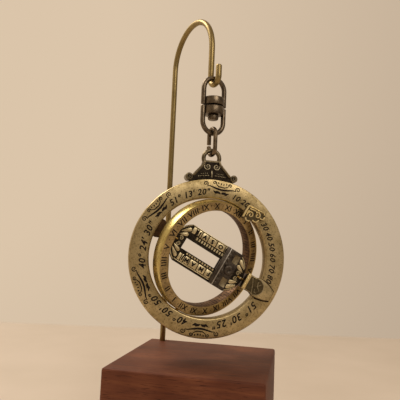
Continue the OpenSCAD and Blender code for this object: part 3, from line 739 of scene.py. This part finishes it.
# Brown brass with painted shade: the plain pads under the slider and the slider's sunk panels are
# dull, and their darker colour stands in for the shade they lie in.
shaded_pad_brass = patina("brass_pad_painted_shade", "#8A7D63", "#6A5F49", "#2E2417", 0.44, patch=3.0,
                   recess=0.3)
foot, cell_gap, cell_ease, border_ease, lobe_ease = ground - relief_root, 0.16, 0.08, 0.06, 0.12
upper_months = [-11.6, -9.7, -8.8, -7.0, -3.8, 0.3, 4.4, 6.8, 8.7, 12.0]
lower_months = [-11.4, -9.9, -8.4, -5.9, -1.95, 1.85, 5.6, 7.3, 8.8, 12.0]
month_rows = ((upper_months, 5.2, 7.95), (lower_months, -7.15, -4.15))
rungs, rung_step = 14, 1.25
bm = bmesh.new()
for edges, low, high in month_rows:
    for left, right in zip(edges, edges[1:-1]):
        add_plate(bm, foot, bridge_half, box(left + cell_gap, right - cell_gap, low, high),
                  eased=cell_ease)
for start, low, high, wide in ((-7.95, 3.55, 4.75, 0.68), (-8.3, -3.6, -2.85, 0.74)):
    for k in range(rungs):
        middle = start + rung_step * k
        add_plate(bm, foot, bridge_half - 2 * hair,
                  box(middle - wide / 2, middle + wide / 2, low, high))
for low, high in ((8.2, 8.5), (-7.75, -7.4)):
    add_plate(bm, foot, bridge_half, box(-rail_end, rail_end, low, high), eased=border_ease)

# Each palmette has two lobes on either side, given by root, tip and width, a volute and a rim.
palm_lobes = [((15.9, 2.3), (12.5, 3.9), 1.6), ((15.9, 3.7), (12.4, 6.5), 1.6)]
palm_inset = {1: 0.0, -1: 0.55}
lobe_shape = [(0.0, 0.10), (0.15, 0.20), (0.40, 0.36), (0.65, 0.48), (0.82, 0.50), (0.93, 0.38),
              (1.0, 0.12)]


def palm_lobe(root, tip, wide, end, side):
    inset = Vector((palm_inset[end], 0))
    root, tip = Vector(root) - inset, Vector(tip) - inset
    across = Vector((root.y - tip.y, tip.x - root.x)).normalized() * wide
    spots = [root.lerp(tip, share) + half * across for share, half in both_sides(lobe_shape)]
    return [(end * spot.x, side * spot.y) for spot in spots]


for end in (1, -1):
    for side in (1, -1):
        for lobe in palm_lobes:
            add_plate(bm, foot, bridge_half - hair, palm_lobe(*lobe, end, side), eased=lobe_ease)
        rolled = [volute(14.4 - palm_inset[end], 1.15, 0.95, 20, 1.4, 1),
                  [(x, y, 0.9) for x, y in arc(fan_x, 0, fan_radius - 0.4, 27, 58, 12)]]
        bead(bm, [[(end * x, side * y, r) for x, y, r in line] for line in rolled], 0.6,
             bridge_half - ground - 2 * hair, ground)
    button(bm, (end * 16.4, 0, ground), 0.55, 0.65)
settle(bm, "bridge_relief", pole, rail_brass, "bridge", "bridge_brass")

# Initials of the months, engraved on the cells and filled. The lower row stands on its head.
letter_high, letter_bold = 1.8, 0.14
bm = bmesh.new()
for letters, edges, row, turn in (("JJASOND", upper_months, 6.58, 0),
                                  ("JMAMFJD", lower_months, -5.65, math.pi)):
    for letter, left, right in zip(letters, edges[1:], edges[2:]):
        part = figures(letter, letter_high, 0.0, letter_bold)
        bmesh.ops.rotate(part, verts=part.verts, cent=(0, letter_high / 2, 0),
                         matrix=Matrix.Rotation(turn, 3, "Z"))
        bmesh.ops.translate(part, verts=part.verts,
                            vec=((left + right) / 2, row - letter_high / 2, bridge_half))
        joined(bm, part)
settle(bm, "month_letters_filled", pole, black_fill, "bridge", "bridge_brass")
# Plain pads at the rails' ends, under the slider, darkened with painted shade.
bm = bmesh.new()
for edges, low, high in month_rows:
    add_plate(bm, foot, bridge_half, box(edges[-2] + cell_gap, edges[-1], low, high),
              eased=cell_ease)
settle(bm, "plain_end_pads", pole, shaded_pad_brass, "bridge", "bridge_brass")

# Back of the bridge. The plain rear face has two raised rails and the same palmettes, worn
# smoother than the front.
back_low, back_high, back_end = -bridge_half - 0.05, -bridge_half + 0.3, 12.1
bm = bmesh.new()
for low, high in ((3.0, 8.1), (-8.1, -3.0)):
    add_plate(bm, back_low, back_high, box(-back_end, back_end, low, high))
for end in (1, -1):
    for side in (1, -1):
        for lobe in palm_lobes:
            add_plate(bm, back_low, back_high, palm_lobe(*lobe, end, side))
settle(bm, "bridge_back", pole, face_brass, "bridge", "bridge_brass")

# Slider. Two blackened bronze plates, one on each side of the bridge, riveted together by an
# eyelet through the slot. The front one has two sunk panels, a raised line and the pinhole's boss.
slider_x, slider_half, core_half, skin, boss_x = 8.6, 3.7, 1.12, 0.9, 9.9
panel_x, panel_y, panel_half, panel_floor = 10.6, 5.35, (1.3, 1.9), 1.77
square_rows, square_half, square_left, square_right = (1.6, 3.6, 5.6, 7.4), 0.72, 7.05, 8.45
rivet_x, rivet_y, guide_half, guide_bore = 2.6, 6.2, (2.9, 2.3), 1.52
front_ease, raised_ease, rear_ease = 0.1, 0.12, 0.14
pointer_left, pointer_right, pointer_inset = 6.35, 6.85, 0.05
front_low, front_high = core_half, core_half + skin
# Blackened bronze: almost black and half dull, a little lighter where it is rubbed.
black_bronze = patina("blackened_bronze", "#585047", "#3E3731", "#171410", 0.42, patch=2.0)
slider_line = box(slider_x - slider_half, slider_x + slider_half, -rail_half, rail_half)
panels = [box(panel_x - panel_half[0], panel_x + panel_half[0],
              side * panel_y - panel_half[1], side * panel_y + panel_half[1]) for side in (1, -1)]
bm = bmesh.new()
rims = []
for depth, loop in [(front_low, slider_line)] + [(panel_floor, panel) for panel in panels]:
    brim = [bm.verts.new((*spot, front_high)) for spot in loop]
    base = [bm.verts.new((*spot, depth)) for spot in loop]
    rims += [bm.edges.new(pair) for pair in zip(brim, brim[1:] + brim[:1])]
    bm.faces.new(base).material_index = 1 if depth == panel_floor else 0
    for i in range(len(loop)):
        bm.faces.new((brim[i - 1], brim[i], base[i], base[i - 1]))
bmesh.ops.triangle_fill(bm, use_beauty=True, use_dissolve=False, edges=rims)
ease(bm, front_ease, 2)
for side in (-1, 1):
    for y in square_rows:
        add_plate(bm, front_high - 0.1, front_high + 0.2,
                  box(square_left, square_right, side * (y - square_half),
                      side * (y + square_half)), eased=raised_ease)
slider_front = settle(bm, "slider_front", pole, black_bronze, "slider", "slider_bronze",
                      "slider_front_plate")
# The floors of the sunk panels take the brass darkened with painted shade.
slider_front.data.materials.append(shaded_pad_brass)

# Grey bronze with a painted highlight: the raised line is a pale cool grey that stands in for the
# light along its ridge, and shows where to read the date.
highlit_grey_bronze = patina("grey_bronze_painted_highlight", "#B0AAA0", "#827C74", "#2A2621", 0.36, patch=2.0,
                     recess=0.2, pits=0.2)
bm = bmesh.new()
plate(bm, front_high - 0.2, front_high + 0.35,
      box(pointer_left, pointer_right, -rail_half + pointer_inset, rail_half - pointer_inset))
ease(bm, raised_ease, 2)
settle(bm, "slider_pointer_line", pole, highlit_grey_bronze, "slider", "slider_bronze")

bm = bmesh.new()
plate(bm, -front_high, -front_low, slider_line)
ease(bm, rear_ease, 2)
for y in (rivet_y, -rivet_y):
    for x in (slider_x - rivet_x, slider_x + rivet_x):
        button(bm, (x, y, -front_high), 0.6, 0.45)
settle(bm, "slider_back", pole, black_bronze, "slider", "slider_bronze", "slider_back_plate")

# The eyelet's boss and flange are turned, and a guide block that fits the slot sits round it.
boss = [(0.55, 0.55), (0.8, 0.7), (1.6, 0.7), (1.95, 0.55), (2.1, 0.3), (2.1, 0), (1.5, 0)]
flange = [(1.5, 0), (2.1, 0), (2.1, 0.25), (1.9, 0.4), (0.8, 0.4), (0.55, 0.3)]
bm = bmesh.new()
turned(bm, [(r, front_high + h) for r, h in boss] + [(r, -front_high - h) for r, h in flange],
       "Z", closed=True, steps=48)
bmesh.ops.translate(bm, verts=bm.verts, vec=(boss_x, 0, 0))
add_plate(bm, -core_half + hair, core_half - hair,
          box(slider_x - guide_half[0], slider_x + guide_half[0], -guide_half[1], guide_half[1]),
          arc(boss_x, 0, guide_bore, 0, 350, 36))
settle(bm, "slider_pinhole_eyelet", pole, black_bronze, "slider", "slider_bronze",
       "slider_eyelet")

# Stage. A plain pale table, a soft lamp from the upper left, a weak one from the right, and
# warm beige surroundings that are brighter behind the object on the left.
view_settings = bpy.context.scene.view_settings
view_settings.view_transform = "Standard"
table_wide, table_deep, table_shift, table_turn, mottle_size = 1.2, 0.62, -0.075, 0.2118, 0.05
# Pale matt paint: an even warm white with broad, faint clouds about 50 mm across.
table_paint = bpy.data.materials.new("pale_table_paint")
table_paint.use_nodes = True
tree = table_paint.node_tree
shader = tree.nodes["Principled BSDF"]
where = add_node(tree, "ShaderNodeTexCoord").outputs["Object"]
mottle = add_node(tree, "ShaderNodeTexNoise",
                  {"Vector": where, "Scale": 1 / mottle_size, "Detail": 3.0})
tone = add_node(tree, "ShaderNodeValToRGB", {"Fac": mottle.outputs["Fac"]},
                [(0.3, "#D0C3B3"), (0.7, "#D7CABB")])
tree.links.new(tone.outputs[0], shader.inputs["Base Color"])
shader.inputs["Roughness"].default_value = 0.6
bm = bmesh.new()
bmesh.ops.create_grid(bm, x_segments=8, y_segments=8, size=0.5)
bmesh.ops.scale(bm, verts=bm.verts, vec=(table_wide, table_deep, 1))
bmesh.ops.translate(bm, verts=bm.verts, vec=(0, table_shift, -0.0002))
bmesh.ops.rotate(bm, verts=bm.verts, cent=(0, 0, 0), matrix=Matrix.Rotation(table_turn, 3, "Z"))
mesh = bpy.data.meshes.new("table_top")
bm.to_mesh(mesh)
bm.free()
mesh.materials.append(table_paint)
table = bpy.data.objects.new("table_top", mesh)
bpy.context.scene.collection.objects.link(table)

bright_side = (-0.755, 0.554, 0.352)
world = bpy.data.worlds.new("warm_room")
bpy.context.scene.world = world
world.use_nodes = True
tree = world.node_tree
heading = add_node(tree, "ShaderNodeTexCoord").outputs["Generated"]
toward = add_node(tree, "ShaderNodeVectorMath", {0: heading, 1: bright_side},
                  operation="DOT_PRODUCT")
share = add_node(tree, "ShaderNodeMapRange",
                 {"Value": toward.outputs["Value"], "From Min": -1.0, "From Max": 1.0})
room = add_node(tree, "ShaderNodeValToRGB", {"Fac": share.outputs[0]},
                [(0.0, "#857869"), (0.35, "#9C8B78"), (0.70, "#C2AE97"), (0.94, "#DBC5AA")])
tree.links.new(room.outputs[0], tree.nodes["Background"].inputs["Color"])

lamps_aim = Vector((0.0, 0.0, 0.08))
for name, spot, size, power, colour in (
        ("key_lamp", (-0.36, 0.06, 0.56), 0.24, 2.1, "#FFF6EA"),
        ("fill_lamp", (0.41, -0.48, 0.47), 0.40, 1.7, "#FFF4E6")):
    lamp = bpy.data.lights.new(name, "AREA")
    lamp.size = size
    lamp.energy = power
    lamp.color = linear(colour)[:3]
    holder = bpy.data.objects.new(name, lamp)
    holder.location = spot
    holder.rotation_euler = (lamps_aim - Vector(spot)).to_track_quat("-Z", "Y").to_euler()
    bpy.context.scene.collection.objects.link(holder)

camera_spot, focal_length = (0.0402506, -0.1964177, 0.0756672), 42.356
yaw, pitch, roll = -0.211830, 0.0979718, 0.0417094
ahead = Vector((math.sin(yaw) * math.cos(pitch), math.cos(yaw) * math.cos(pitch),
                math.sin(pitch)))
aside = Vector((math.cos(yaw), -math.sin(yaw), 0))
above = aside.cross(ahead)
level_x = math.cos(roll) * aside + math.sin(roll) * above
level_y = -math.sin(roll) * aside + math.cos(roll) * above
lens = bpy.data.cameras.new("photo_camera")
lens.sensor_width = 36.0
lens.lens = focal_length
lens.clip_start = 0.005
camera = bpy.data.objects.new("photo_camera", lens)
camera.matrix_world = Matrix.Translation(camera_spot) @ Matrix(
    (level_x, level_y, -ahead)).transposed().to_4x4()
bpy.context.scene.collection.objects.link(camera)
bpy.context.scene.camera = camera
